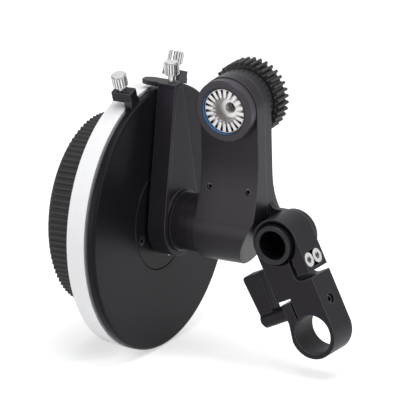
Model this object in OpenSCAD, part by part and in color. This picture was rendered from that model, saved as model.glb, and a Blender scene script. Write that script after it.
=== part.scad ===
// Follow focus unit for a 15 mm support rod.
// A hand wheel turns a shaft along X, a riser shaft inside the upright gearbox
// carries the motion up, and a drive gear at the back turns the lens.
// The gearbox hangs on a short tube held by the tilted clamp link.
//
// Frame: the origin is the middle of the rod bore. +X runs along the wheel
// shaft from the wheel to the gearbox, +Y along the rod away from the
// operator, +Z up. Lengths are millimetres, angles degrees.
// "Unit frame" below means the same axes with the origin where the wheel's
// axis meets the operator's face of the wheel disc.

/* [Clamp link] */
// Diameter of the support rod and of the swing tube
rod_d = 15; // [12:0.5:19]
// Wall between a bore of the link and the outside
ring_wall = 1.9; // [1.6:0.1:4]
// Distance between the two bores of the link
link_len = 36.5; // [35:0.5:50]
// Lean of the link away from vertical
link_tilt = 24.6; // [0:0.1:40]
// Thickness of the link along the rod
link_t = 13; // [12.6:0.1:20]
// Width of the upper slit
slit_w = 2; // [1.2:0.1:2.5]
// Width of the lower slit beside the rod bore
ear_slit_w = 0.9; // [0.6:0.1:1.5]
// Diameter of the two clamp screws
cap_screw_d = 3; // [2:0.1:3.4]
// Diameter of the clamp screws' heads
cap_head_d = 5.5; // [4:0.1:5.7]
// Depth of the pocket for the clamp screws' heads
cap_pocket_h = 2.2; // [1.5:0.1:3]

/* [Clamp lever] */
// Diameter of the lever's threaded stud
stud_d = 4; // [3:0.1:4.6]
// Height of the stud above the rod's axis
stud_rise = 10.1; // [10:0.1:11]
// Diameter of the lever's hub
lever_hub_d = 6; // [5:0.1:7]
// Length of the lever's hub
lever_hub_len = 13.9; // [10:0.1:18]
// Reach of the paddle from the stud's axis
lever_reach = 17.8; // [10:0.1:19]
// Width of the paddle along the stud
lever_paddle_w = 6.2; // [4:0.1:8]
// Thickness of the paddle
lever_paddle_t = 3.6; // [2:0.1:4]
// How much further the paddle reaches behind its front plate
lever_paddle_back = 2.4; // [0:0.1:3]
// How much wider the paddle's tip is on each side
lever_flare = 0.8; // [0:0.1:1.2]

/* [Swing tube] */
// Wall of the swing tube
tube_wall = 2; // [1.2:0.1:3]
// How far the tube stands out of the link's front face
tube_proud = 2.4; // [1:0.1:6]
// Thickness of the gearbox eye that turns on the tube
tube_seat = 2.5; // [2:0.1:6]
// Wall of that eye around the tube
tube_boss_wall = 1.4; // [1.3:0.05:3]
// Radius of the fillet between the gearbox and that eye
eye_fillet = 3; // [2:0.1:5]
// Thickness of the collar that keeps the eye on the tube
collar_t = 1.2; // [0.8:0.1:3]
// Gap between the link's ring and the side of the gearbox
ring_gap = 0.3; // [0.2:0.05:2]
// Height of the tube's axis above the wheel's axis
tube_rise = 1; // [0:0.1:6]

/* [Gearbox] */
// Width of the housing along the wheel's axis
housing_w = 24.4; // [23:0.1:30]
// Thickness of the upright part of the housing
slab_t = 10; // [9.6:0.1:14]
// Radius of the barrel around the wheel's axis
barrel_r = 12.2; // [11.5:0.1:15]
// Radius of the long front hollow that blends barrel and upright
blend_r = 60; // [30:1:80]
// Radius of the rear hollow between barrel and upright
rear_blend_r = 27; // [20:1:60]
// Height of the drive axis above the wheel's axis
drive_rise = 48.5; // [44:0.5:60]
// Rear thickness of the rounded head behind the upright
head_rear_t = 1.4; // [0.8:0.1:3]
// Angle of the flat that clears the clamp link
relief_angle = 23.6; // [0:1:30]
// Height at which that flat starts above the wheel's axis
relief_rise = 7; // [0:0.5:9]
// Radius of the grub screws in the front face
grub_r = 1.3; // [1:0.1:2]
// Radius of the screws that hold the two halves together
case_screw_r = 1.25; // [1:0.05:1.5]

/* [Crank port] */
// Radius of the ring around the crank port
port_r = 11.8; // [11:0.1:12.2]
// How far that ring stands out
port_t = 4.2; // [4:0.1:6]
// Radius of the crown
crown_r = 8.5; // [8:0.1:9]
// Number of notches around the crown
crown_notches = 20; // [8:1:28]
// Radius of the cup inside the crown
cup_r = 5; // [4.5:0.1:5.4]
// Radius of the threaded hole for the crank
crank_hole_r = 2.1; // [1.2:0.1:2.3]
// Length of the threaded hole
crank_hole_len = 4.4; // [2:0.1:6]
// Wall of the coloured sleeve in the port
sleeve_t = 0.55; // [0.4:0.05:0.8]

/* [Hand wheel] */
// Radius of the wheel disc
disc_r = 50; // [40:0.5:60]
// Thickness of the wheel disc
disc_t = 4.3; // [4.2:0.1:6]
// Width of the white marking ring
mark_w = 8; // [6:0.5:14]
// Wall of the marking ring
mark_wall = 4; // [2:0.5:6]
// Radius of the ribbed grip
grip_r = 35.5; // [28:0.5:38]
// Length of the ribbed grip
grip_w = 17; // [12:0.5:24]
// Number of ribs around the grip
rib_count = 96; // [48:4:120]
// Height of a rib
rib_h = 0.7; // [0.4:0.1:1.2]
// Radius of the hub plate let into the disc
hub_plate_r = 19.8; // [19:0.1:22]
// Radius of the circle on which the hub screws lie
hub_screw_pcr = 15.8; // [12:0.1:17]
// Radius of the wheel shaft
shaft_r = 4; // [3:0.1:4.4]

/* [Neck and index arm] */
// Radius of the neck between the arm and the gearbox
neck_r = 10.7; // [9.8:0.1:11]
// Length of the neck that shows
neck_len = 11.7; // [8:0.1:20]
// Gap between the wheel disc and the index arm
arm_gap = 1.5; // [0.8:0.1:3]
// Thickness of the index arm
arm_t = 7.2; // [6.5:0.1:9]
// Radius of the round lower end of the arm
arm_hub_r = 13.3; // [12.5:0.1:16]
// Width of the arm at its top
arm_top_w = 6.8; // [6.4:0.1:12]
// Gap between the rim and the underside of the pointer
pointer_gap = 1.6; // [0.8:0.1:3]
// Thickness of the pointer
pointer_t = 1.8; // [1:0.1:2.5]
// Width of the pointer
pointer_w = 4.8; // [4.6:0.1:6]
// Reach of the pointer over the rim
pointer_reach = 6.5; // [4:0.1:10]

/* [Hard stops] */
// Place of the first stop, before the pointer
stop_a_angle = -17.5; // [-90:0.5:-12]
// Place of the second stop, behind the pointer
stop_b_angle = 22.5; // [12:0.5:90]
// Width of a stop around the rim
stop_w = 4.6; // [4.2:0.1:8]
// Length of a stop across the rim
stop_len = 8; // [7:0.1:10]
// Height of a stop's bar
stop_bar_t = 3.9; // [2.5:0.1:5]
// Height of the second stop's bar, which is thinner
stop_b_bar_t = 2.4; // [1.8:0.1:5]
// Gap between the bar and the marking ring
stop_gap = 2.3; // [0.8:0.1:3]

/* [Thumbscrews] */
// Diameter of a thumbscrew's head
thumb_d = 5.9; // [4:0.1:6.3]
// Height of a thumbscrew's head
thumb_h = 5; // [3:0.1:8]
// Diameter of the neck under the head
thumb_neck_d = 2.8; // [2.6:0.1:3.6]
// Height of that neck above the pointer
thumb_neck_h = 2.9; // [0.6:0.1:4]
// Height of that neck above a stop
stop_neck_h = 1.9; // [0.6:0.1:4]
// Diameter of the thread
thumb_thread_d = 2.5; // [1.6:0.1:2.6]
// Number of flutes around the head
thumb_flutes = 18; // [10:1:26]

/* [Gears] */
// Module of the drive gear that meets the lens gear
drive_module = 0.8; // [0.6:0.1:1]
// Teeth of the drive gear
drive_teeth = 34; // [30:1:44]
// Width of the drive gear
drive_gear_w = 7.6; // [7.4:0.1:14]
// Module of the small gears inside
inner_module = 0.6; // [0.5:0.02:0.62]
// Teeth of a riser pinion
pinion_teeth = 10; // [10:1:10]
// Teeth of a crown wheel, two to each tooth of a pinion
crown_teeth = 20; // [20:1:20]
// Radius of the riser shaft between its pinions
riser_r = 2; // [1.8:0.1:2.4]

/* [Hidden] */

// Smoothness of large and small round surfaces
$fn = 64;
fn_large = 160;

// Clearances
run_fit = 0.05;         // radial, a shaft in its bush or a rod in its bore
hole_fit = 0.2;         // radial, a screw through a plain hole
side_gap = 0.2;         // between a turning face and a fixed one
edge = 0.4;             // chamfer on machined edges
sink = 0.02;            // how far a blended surface dips into the one it meets

// Link, in its own plane: x across the link, y from the rod to the tube
link_r = rod_d / 2 + ring_wall;
bore_r = rod_d / 2 + run_fit;
slit_inner = 2.35;                                  // left side of the upper slit
slit_run = 1.75;                                    // width of its vertical stretch
cap_screw_gap = 1;                                  // metal between tube and screws
cap_screw_rise = link_len - rod_d / 2 - cap_screw_d / 2 - cap_screw_gap;
ear_floor_t = 1.45;                                 // metal under the screws' heads
slit_floor = cap_screw_rise - cap_head_d / 2 - ear_floor_t - slit_w;
slit_corner_r = 2.4;                                // round corner of the slit
ear_inset = 1.4;                                    // left ear, set back from the side
ear_top = stud_rise + 3.9;
ear_gap = 1.3;                                      // gap above the left ear
ear_slit_x = -3.6;                                  // middle of the lower slit
cap_screw_step = cap_head_d / 2 + 0.2;              // half the screws' spacing
cap_screw_tip = -5;
cap_pocket_r = cap_head_d / 2 + 0.25;
tube_chamfer = 1.2;                                 // wide chamfer of the tube's bore
stud_recess = 0.9;                                  // stud's end below the right face
washer_t = 0.4;
lever_x = -link_r + ear_inset - washer_t;           // right end of the lever's hub

// Swing tube
tube_r = rod_d / 2;
tube_x = -link_len * sin(link_tilt);
tube_z = link_len * cos(link_tilt);
tube_boss_r = tube_r + tube_boss_wall;
link_gap = 0.5;                                     // link to the gearbox eye
collar_gap = 0.1;                                   // eye to the collar
collar_plug = 3;

// Stations along the wheel's axis, from the disc's face
arm_x = arm_gap;
neck_x = arm_x + arm_t;
housing_x = neck_x + neck_len;
drive_x = housing_x + housing_w / 2;
housing_end = housing_x + housing_w;
tube_from_disc = housing_end + ring_gap + link_r;
drum_x = -disc_t - mark_w;
grip_x = drum_x - grip_w;

// Stations along Y, from the wheel's axis
boss_y = 2.5;
link_y = boss_y - link_gap - link_t / 2;
split_y = 0.5;                                      // joint between the housing halves
head_r = housing_w / 2;
head_y = slab_t / 2 + head_rear_t;
port_y = -slab_t / 2 - port_t;

// Unit frame's origin in the frame of the whole
unit_x = tube_x - tube_from_disc;
unit_y = -link_y;
unit_z = tube_z - tube_rise;

// Inner gears: a spur pinion on the riser meets the face teeth of a crown wheel
pinion_r = inner_module * pinion_teeth / 2;
crown_mid_r = inner_module * crown_teeth / 2;
crown_face_w = 1.7;                                 // length of a crown wheel's tooth
crown_body_r = crown_mid_r + crown_face_w / 2 + 0.25;
crown_body_t = 2.5;
tooth_up = 0.8 * inner_module;
tooth_down = 1.1 * inner_module;
tooth_tip = 0.16;                                   // shares of the pitch
tooth_base = 0.4;
pinion_w = crown_face_w + 0.7;
pinion_low = crown_mid_r - pinion_w / 2;            // near end, from the crown's axis
pinion_hub_r = pinion_r - 0.1;
pinion_hub_len = 2;
pinion_bore_r = 1.5;
pinion_far = pinion_low + pinion_w + pinion_hub_len;
riser_bush_r = 3.5;
riser_bush_len = 4.4;
cavity_r = crown_body_r + 0.35;
pinion_cavity_r = pinion_r + tooth_up + 0.3;

// Drive shaft and its bearings
drive_r = 2;
journal_r = 3.2;
crown_recess = 1.0;                                 // crown's face below the port's
crown_t = 1.5;
crown_rim_r = crown_r - 0.4;                        // rim outside the notches
cup_depth = 4.4;
cup_floor_r = 3.7;                                  // radius of the cup at its floor
notch_depth = 0.9;
notch_turn = 11;                                    // turn of the notches' pattern
crown_hub_r = cup_r + 1;
port_bush_r = crown_hub_r + 1.15;
crown_y = port_y + crown_recess;
cup_y = crown_y + cup_depth;
crown_hub_len = 4.2;
crown_hub_end = crown_y + crown_hub_len;
cup_back = cup_y + 0.8;
port_bush_y = crown_y + crown_t + side_gap;
cavity_front = crown_hub_end + side_gap;
crown_back = pinion_r + tooth_down + crown_body_t - 0.85;
cavity_back = crown_back + side_gap;
drive_bush_r = 5;
drive_bush_len = 5.9;
gear_boss_r = drive_bush_r + 2.8;
gear_boss_end = cavity_back + drive_bush_len;
gear_y = head_y + 0.7;
gear_end = gear_y + drive_gear_w;

// Drive gear
gear_pitch_r = drive_module * drive_teeth / 2;
gear_tip_r = gear_pitch_r + 0.8 * drive_module;
gear_turn = 0.5;                                    // share of a pitch
gear_root_r = gear_pitch_r - 1.2 * drive_module;
gear_recess_r = gear_boss_r + 0.7;
gear_recess_end = gear_boss_end + 0.5;

// Neck
spigot_r = 8.5;
neck_bore_r = 6.2;
tail_r = 7.5;
tail_len = 4;
bush_len = 5;
neck_ring_t = 1.2;
neck_ring_r = neck_r + 0.7;

// Wheel
groove_w = 1.4;                                     // groove beside the marking ring
groove_floor = disc_r - 2.4;
groove_lip = disc_r - 1;
groove_reach = 1.1;                                 // how far it runs in under its lip
rim_round = 1.2;                                    // rounding of the rim's front edge
drum_r = disc_r - mark_wall;
drum_wall = 5;
drum_web = 2.5;
drum_hub_r = hub_plate_r + 1.2;
plate_t = 2.2;
hub_screw_turn = 18;                                // turn of the screws' pattern
hub_screw_r = 1;
hub_head_r = 1.8;
hub_head_t = 1.2;
grip_wall = 3.2;
grip_end_t = 3;
grip_hub_r = 9;
grip_screw_pcr = drum_hub_r + 4;
grip_screw_r = 1.5;
grip_screw_hold = 3.5;                              // length in the grip's foot
grip_head_h = 2.4;
grip_hole_len = 7;
cap_r = 8.5;
cap_seat = 1.8;
cap_t = 0.8;

// Arm, pointer and stops
arm_top = disc_r + pointer_gap;
arm_round = 2.2;                                    // corner of the arm behind the pointer
web_depth = 0.65;                                      // step from the front rib to the web
web_rim = 1.9;
pointer_top = arm_top + pointer_t;
pointer_end = arm_x + arm_t - 1;
pointer_screw_x = arm_x + 4;
slot_fit = 0.05;
pointer_screw_depth = 7;
stop_inset = 1.3;                                   // stop's face behind the disc's face
stop_x = -stop_inset;
stop_foot_w = stop_w + 1.6;
bar_low = disc_r + stop_gap;
stop_screw_x = stop_x - stop_len * 0.6;
hook_gap = 0.15;

// ---- places -------------------------------------------------------------

// Link plane: x across, y from the rod bore to the tube bore, z towards the operator
module in_link() {
    rotate([0, -link_tilt, 0]) rotate([90, 0, 0]) children();
}

module in_unit() {
    translate([unit_x, unit_y, unit_z]) children();
}

// Wheel axis: x is +Y, y is +Z, z is +X, starting at station x0
module on_wheel(x0 = 0) {
    in_unit() translate([x0, 0, 0]) rotate([90, 0, 90]) children();
}

// Drive axis: z is +Y, starting at station y0; y points down
module on_drive(y0 = 0) {
    in_unit() translate([drive_x, y0, drive_rise]) rotate([-90, 0, 0]) children();
}

// Riser axis, starting at height z0
module on_riser(z0 = 0) {
    in_unit() translate([drive_x, 0, z0]) children();
}

// Tube axis: z is +Y, starting at station y0
module on_tube(y0 = 0) {
    translate([tube_x, unit_y + y0, tube_z]) rotate([-90, 0, 0]) children();
}

// Rim of the wheel at an angle from the top towards +Y: z is outwards
module on_rim(angle) {
    in_unit() rotate([-angle, 0, 0]) children();
}

// ---- shapes that repeat -------------------------------------------------

module tube_solid(r_out, r_in, len) {
    difference() {
        cylinder(r = r_out, h = len);
        translate([0, 0, -1]) cylinder(r = r_in, h = len + 2);
    }
}

// A turned disc with both outer edges broken
module turned(r, len, c = edge) {
    rotate_extrude($fn = fn_large)
        polygon([[0, 0], [r - c, 0], [r, c], [r, len - c], [r - c, len], [0, len]]);
}

// A socket head screw: head from z = 0 up, shank downwards
module socket_screw(r, head_r, head_h, len) {
    difference() {
        union() {
            cylinder(r = head_r, h = head_h);
            translate([0, 0, -len]) cylinder(r = r, h = len + 0.1);
        }
        translate([0, 0, head_h - r]) cylinder(r = r * 0.95, h = r + 1, $fn = 6);
    }
}

// A headless screw with a hex socket in its upper end at z = 0
module grub_screw(r, len) {
    difference() {
        translate([0, 0, -len]) cylinder(r = r, h = len);
        translate([0, 0, -len * 0.55]) cylinder(r = r * 0.62, h = len, $fn = 6);
    }
}

// Outline with flutes: a star of short flats between two radii
module fluted(r, depth, count) {
    step = 360 / count;
    polygon([
        for (i = [0 : count - 1], p = [[0, 0], [0.16, 1], [0.34, 1], [0.5, 0]])
            (r - depth * p[1]) * [cos((i + p[0]) * step), sin((i + p[0]) * step)]
    ]);
}

// A fluted thumbscrew standing on z = 0, with its thread downwards
module thumbscrew(thread_len, neck_h) {
    translate([0, 0, -thread_len]) cylinder(d = thumb_thread_d, h = thread_len + 0.1);
    cylinder(d = thumb_neck_d, h = neck_h + 0.1);
    translate([0, 0, neck_h]) {
        cylinder(d = thumb_d - 1, h = thumb_h);
        translate([0, 0, 0.4]) linear_extrude(thumb_h - 0.8)
            fluted(thumb_d / 2, 0.35, thumb_flutes);
    }
}

// ---- clamp ----------------------------------------------------------------

module link_outline() {
    circle(r = link_r, $fn = fn_large);
    translate([0, link_len]) circle(r = link_r, $fn = fn_large);
    translate([-link_r + sink, 0]) square([2 * (link_r - sink), link_len]);
}

module upper_slit() {
    // Down from the tube's bore, round a soft corner and out to the right
    translate([slit_inner, slit_floor + slit_corner_r])
        square([slit_run, link_len - slit_floor - slit_corner_r - tube_r * 0.6]);
    translate([slit_inner + slit_corner_r, slit_floor]) square([link_r * 2, slit_w]);
    intersection() {
        difference() {
            translate([slit_inner + slit_corner_r, slit_floor + slit_corner_r])
                circle(r = slit_corner_r);
            translate([slit_inner + slit_run, slit_floor + slit_w])
                square(slit_corner_r * 2);
        }
        translate([slit_inner, slit_floor])
            square(slit_corner_r + sink);
    }
}

module lower_slit() {
    // Up from the rod's bore and out to the left, above the ear
    translate([ear_slit_x - ear_slit_w / 2, rod_d / 4])
        square([ear_slit_w, ear_top + ear_gap - rod_d / 4]);
    translate([-link_r * 2, ear_top])
        square([link_r * 2 + ear_slit_x + ear_slit_w / 2, ear_gap]);
    polygon([
        [-link_r - 2, 0], [-link_r, 0],
        [-link_r + ear_inset, stud_rise - lever_hub_d / 2 - 0.6],
        [-link_r + ear_inset, ear_top + ear_gap / 2], [-link_r - 2, ear_top + ear_gap / 2]
    ]);
}

module clamp_link() {
    color([0.09, 0.09, 0.10]) in_link() difference() {
        translate([0, 0, -link_t / 2]) linear_extrude(link_t) difference() {
            link_outline();
            upper_slit();
            lower_slit();
        }
        translate([0, 0, -link_t]) cylinder(r = bore_r, h = 2 * link_t, $fn = fn_large);
        translate([0, link_len, -link_t])
            cylinder(r = bore_r, h = 2 * link_t, $fn = fn_large);
        translate([0, link_len, link_t / 2 - tube_chamfer])
            cylinder(r1 = bore_r, r2 = bore_r + tube_chamfer + 0.01,
                     h = tube_chamfer + 0.01, $fn = fn_large);
        // Clamp screws: pocket, plain holes in the ear, thread in the block
        translate([link_r - cap_pocket_h, cap_screw_rise, 0]) rotate([0, 90, 0]) {
            for (s = [-1, 1]) translate([s * cap_screw_step, 0, 0])
                cylinder(r = cap_pocket_r, h = link_r);
            translate([-cap_screw_step, -cap_pocket_r + sink, 0])
                cube([2 * cap_screw_step, 2 * (cap_pocket_r - sink), link_r]);
        }
        for (s = [-1, 1]) translate([0, cap_screw_rise, s * cap_screw_step])
            rotate([0, 90, 0]) {
                translate([0, 0, slit_inner + slit_run / 2])
                    cylinder(r = cap_screw_d / 2 + hole_fit, h = link_r);
                translate([0, 0, cap_screw_tip - 0.5])
                    cylinder(d = cap_screw_d, h = link_r);
            }
        // Lever stud: plain hole in the ear, thread through the block
        translate([0, stud_rise, 0]) rotate([0, 90, 0]) {
            translate([0, 0, -link_r * 2])
                cylinder(r = stud_d / 2 + hole_fit, h = link_r * 2 + ear_slit_x);
            translate([0, 0, ear_slit_x - 1])
                cylinder(r = stud_d / 2 + run_fit, h = link_r * 2);
        }
    }
}

module clamp_screws() {
    head_h = cap_pocket_h - 0.3;
    color([0.80, 0.80, 0.82]) in_link()
        for (s = [-1, 1])
            translate([link_r - cap_pocket_h, cap_screw_rise, s * cap_screw_step])
                rotate([0, 90, 0])
                    socket_screw(cap_screw_d / 2, cap_head_d / 2, head_h,
                                 link_r - cap_pocket_h - cap_screw_tip);
}

// Everything on the stud: z runs from the paddle's end to the right face
module on_stud(x0) {
    in_link() translate([x0, stud_rise, 0]) rotate([0, 90, 0]) children();
}

module clamp_lever() {
    hub_r = lever_hub_d / 2;
    round_r = 1.4;
    color([0.09, 0.09, 0.10]) on_stud(lever_x - lever_hub_len) difference() {
        union() {
            rotate_extrude() polygon([
                [0, 0], [hub_r - 0.8, 0], [hub_r, 0.8],
                [hub_r, lever_hub_len], [0, lever_hub_len]
            ]);
            // The stud's direction is z here, so the paddle rises along y
            translate([-lever_paddle_t / 2, 0, 0.3]) rotate([90, 0, 90])
                linear_extrude(lever_paddle_t + lever_paddle_back) hull() {
                    translate([0, lever_flare / 2])
                        square([hub_r + 2, lever_paddle_w - lever_flare]);
                    for (z = [round_r - lever_flare, lever_paddle_w - round_r + lever_flare])
                        translate([lever_reach - round_r, z]) circle(r = round_r, $fn = 32);
                }
        }
        translate([0, 0, lever_hub_len - 7]) cylinder(d = stud_d, h = 8);
    }
}

module lever_stud() {
    start = lever_x - 7;
    color([0.55, 0.55, 0.57]) on_stud(start) difference() {
        cylinder(d = stud_d, h = link_r - stud_recess - start);
        translate([0, 0, link_r - stud_recess - start - 1.5])
            cylinder(r = 1.1, h = 2, $fn = 6);
    }
}

module lever_washer() {
    color([0.55, 0.55, 0.57]) on_stud(lever_x)
        tube_solid(lever_hub_d / 2 + 0.3, stud_d / 2, washer_t);
}

// ---- swing tube ----------------------------------------------------------

module swing_tube() {
    start = link_y - link_t / 2 - tube_proud;
    len = boss_y + tube_seat + collar_gap - start;
    inner = tube_r - tube_wall;
    color([0.10, 0.10, 0.11]) on_tube(start) rotate_extrude($fn = fn_large)
        polygon([
            [inner, 0.4], [inner + 0.4, 0], [tube_r - edge, 0], [tube_r, edge],
            [tube_r, len - edge], [tube_r - edge, len], [inner, len]
        ]);
}

// Collar at the tube's far end, with a plug that is pressed into it
module tube_collar() {
    color([0.10, 0.10, 0.11]) on_tube(boss_y + tube_seat + collar_gap)
        rotate_extrude($fn = fn_large) polygon([
            [0, -collar_plug], [tube_r - tube_wall, -collar_plug],
            [tube_r - tube_wall, 0], [tube_r + 0.3, 0],
            [tube_r + 0.3, collar_t - edge], [tube_r + 0.3 - edge, collar_t],
            [0, collar_t]
        ]);
}

// ---- gearbox --------------------------------------------------------------

// Side view of the housing: x is the wheel's axis, y is height
module housing_face() {
    difference() {
        union() {
            translate([drive_x, drive_rise]) circle(r = head_r, $fn = fn_large);
            translate([housing_x + sink, -barrel_r - 1])
                square([housing_w - 2 * sink, drive_rise + barrel_r + 1]);
        }
        translate([housing_end, relief_rise]) rotate(-relief_angle)
            translate([0, -barrel_r * 3]) square([barrel_r * 2, barrel_r * 3]);
    }
}

// End view of the housing: x is +Y, y is height. A barrel that runs up into
// the flat upright through one long hollow on each side.
module housing_profile() {
    top = drive_rise + head_r + 1;
    circle(r = barrel_r, $fn = fn_large);
    housing_side(blend_r, top, -1);
    housing_side(rear_blend_r, top, 1);
}

// One half of that view, front (-1) or rear (1), with its hollow
module housing_side(r, top, side) {
    half = slab_t / 2;
    reach = half + r + sink;
    start = sqrt(pow(barrel_r + r + sink, 2) - reach * reach);
    share = (barrel_r - 10 * sink) / (barrel_r + r);
    mirror([side < 0 ? 1 : 0, 0]) difference() {
        polygon([
            [-sink, 0], [0, 0], [reach * share, start * share], [half, start],
            [half, top], [-sink, top]
        ]);
        translate([reach, start]) circle(r = r, $fn = fn_large);
    }
}

module housing_block() {
    intersection() {
        rotate([90, 0, 0]) translate([0, 0, -3 * barrel_r])
            linear_extrude(6 * barrel_r) housing_face();
        translate([housing_x - 1, 0, 0]) rotate([90, 0, 90])
            linear_extrude(housing_w + 2) housing_profile();
    }
}

// Hollows of the gearbox, in the unit frame
module gearbox_hollows() {
    pinion_seat = pinion_far + 0.2;
    // Around the input crown wheel
    translate([drive_x - crown_back - side_gap, 0, 0]) rotate([0, 90, 0])
        cylinder(r = cavity_r, h = crown_back + side_gap + pinion_r + tooth_up + 0.8);
    // Tail of the neck and the shaft
    translate([housing_x - 1, 0, 0]) rotate([0, 90, 0]) {
        cylinder(r = tail_r, h = tail_len + 1);
        cylinder(r = shaft_r + 0.3, h = housing_w / 2);
    }
    // Around the output crown wheel, and the crank port in front of it
    translate([drive_x, cavity_front, drive_rise]) rotate([-90, 0, 0])
        cylinder(r = cavity_r, h = cavity_back - cavity_front);
    translate([drive_x, port_y, drive_rise]) rotate([-90, 0, 0])
        cylinder(r = port_bush_r, h = cavity_front - port_y + 1);
    // Bush of the drive shaft
    translate([drive_x, cavity_back - 1, drive_rise]) rotate([-90, 0, 0])
        cylinder(r = drive_bush_r, h = drive_bush_len + 2);
    // Riser shaft, its bushes and its pinions
    translate([drive_x, 0, pinion_seat])
        cylinder(r = riser_bush_r, h = drive_rise - 2 * pinion_seat);
    translate([drive_x, 0, 0]) cylinder(r = pinion_cavity_r, h = pinion_seat);
    translate([drive_x, 0, drive_rise - pinion_seat])
        cylinder(r = pinion_cavity_r, h = pinion_seat);
}

case_screw_x = 9.4;                                 // from the riser's axis
case_screw_z = [20, 37];
case_screw_seat = slab_t / 2 - 2.4;
case_screw_len = case_screw_seat + slab_t / 2 - 1.6;
front_screw_x = 8.1;
front_screw_z = 17.6;
front_screw_face = -6.1;
front_screw_len = 3;

// Places of the screws that join the halves; z is +Y at the heads' seats
module on_case_screws() {
    for (x = [-1, 1], z = case_screw_z)
        translate([drive_x + x * case_screw_x, case_screw_seat, z])
            rotate([-90, 0, 0]) children();
}

// Places of the two set screws in the front face; z points at the operator
module on_front_screws() {
    for (x = [-1, 1])
        translate([drive_x + x * front_screw_x, front_screw_face, front_screw_z])
            rotate([90, 0, 0]) children();
}

module front_housing() {
    color([0.09, 0.09, 0.10]) in_unit() difference() {
        intersection() {
            housing_block();
            translate([0, -drive_rise, -drive_rise])
                cube([2 * drive_rise, drive_rise + split_y, 3 * drive_rise]);
        }
        gearbox_hollows();
        on_case_screws() translate([0, 0, -case_screw_len])
            cylinder(r = case_screw_r, h = case_screw_len);
        on_front_screws() translate([0, 0, -front_screw_len])
            cylinder(r = grub_r, h = front_screw_len + slab_t);
    }
}

module tube_web() {
    // Web and eye that turn on the tube, seen along Y: x is +X, y is height
    web_top = tube_rise + tube_boss_r - 0.6;
    web_low = tube_rise - tube_boss_r + 2.5;
    translate([tube_from_disc, tube_rise]) circle(r = tube_boss_r, $fn = fn_large);
    translate([housing_end - 7, web_low])
        square([tube_from_disc - housing_end + 7, web_top - web_low]);
    difference() {
        translate([housing_end - 1, web_top - 1]) square([eye_fillet + 1, eye_fillet + 1]);
        translate([housing_end + eye_fillet - sink, web_top + eye_fillet - sink])
            circle(r = eye_fillet);
    }
}

module rear_housing() {
    color([0.09, 0.09, 0.10]) in_unit() difference() {
        union() {
            intersection() {
                housing_block();
                translate([0, split_y, -drive_rise])
                    cube([2 * drive_rise, drive_rise, 3 * drive_rise]);
            }
            translate([drive_x, slab_t / 2 - 1, drive_rise]) rotate([-90, 0, 0])
                cylinder(r = head_r - 0.1, h = head_rear_t + 1, $fn = fn_large);
            translate([drive_x, slab_t / 2 - 1, drive_rise]) rotate([-90, 0, 0])
                cylinder(r = gear_boss_r, h = gear_boss_end - slab_t / 2 + 1);
            translate([0, boss_y, 0]) rotate([90, 0, 0]) mirror([0, 0, 1])
                linear_extrude(tube_seat) tube_web();
        }
        gearbox_hollows();
        on_case_screws() {
            translate([0, 0, -case_screw_len]) cylinder(r = case_screw_r + hole_fit,
                                                        h = case_screw_len + 1);
            cylinder(r = case_screw_r * 2, h = 2 * slab_t);
        }
        translate([tube_from_disc, boss_y - 1, tube_rise]) rotate([-90, 0, 0])
            cylinder(r = bore_r, h = tube_seat + 2, $fn = fn_large);
    }
}

module case_screws() {
    color([0.20, 0.20, 0.21]) in_unit() on_case_screws()
        socket_screw(case_screw_r, case_screw_r * 1.85, case_screw_r * 1.6,
                     case_screw_len - 0.3);
}

module front_set_screws() {
    color([0.80, 0.80, 0.82]) in_unit() on_front_screws()
        grub_screw(grub_r, front_screw_len);
}

module port_ring() {
    seat = crown_r + 0.25;
    floor_y = crown_recess + crown_t + side_gap;
    lip = crown_recess + 1;
    color([0.10, 0.10, 0.11]) on_drive(port_y) rotate_extrude($fn = fn_large)
        polygon([
            [seat + sleeve_t, 0], [port_r - 0.5, 0], [port_r, 0.5], [port_r, port_t],
            [port_bush_r, port_t], [port_bush_r, floor_y], [seat, floor_y],
            [seat, lip], [seat + sleeve_t, lip]
        ]);
}

module port_sleeve() {
    color([0.16, 0.35, 0.80]) on_drive(port_y)
        tube_solid(crown_r + 0.25 + sleeve_t, crown_r + 0.25, crown_recess + 1);
}

module port_bush() {
    color([0.72, 0.53, 0.25]) on_drive(port_bush_y)
        tube_solid(port_bush_r, crown_hub_r + run_fit, cavity_front - port_bush_y);
}

module drive_bush() {
    color([0.72, 0.53, 0.25]) on_drive(cavity_back)
        tube_solid(drive_bush_r, drive_r + run_fit, drive_bush_len);
}

module riser_bushes() {
    seat = pinion_far + 0.2;
    color([0.72, 0.53, 0.25])
        for (z = [seat, drive_rise - seat - riser_bush_len])
            on_riser(z) tube_solid(riser_bush_r, riser_r + run_fit, riser_bush_len);
}

// ---- neck, arm and pointer -------------------------------------------------

module neck() {
    spigot = arm_t - 0.1;
    c = 0.3;
    color([0.09, 0.09, 0.10]) on_wheel(neck_x) difference() {
        rotate_extrude($fn = fn_large) polygon([
            [shaft_r + 0.3, -spigot], [spigot_r, -spigot], [spigot_r, 0],
            [neck_r, 0], [neck_r, neck_len - c], [neck_r - c, neck_len],
            [tail_r, neck_len], [tail_r, neck_len + tail_len],
            [shaft_r + 0.3, neck_len + tail_len]
        ]);
        for (z = [-spigot - 1, neck_len + tail_len - bush_len])
            translate([0, 0, z]) cylinder(r = neck_bore_r, h = bush_len + 1);
    }
}

module neck_ring() {
    color([0.12, 0.12, 0.13]) on_wheel(neck_x)
        tube_solid(neck_ring_r, neck_r, neck_ring_t);
}

module shaft_bushes() {
    spigot = arm_t - 0.1;
    color([0.72, 0.53, 0.25]) on_wheel(neck_x)
        for (z = [-spigot, neck_len + tail_len - bush_len])
            translate([0, 0, z]) tube_solid(neck_bore_r, shaft_r + run_fit, bush_len);
}

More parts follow.
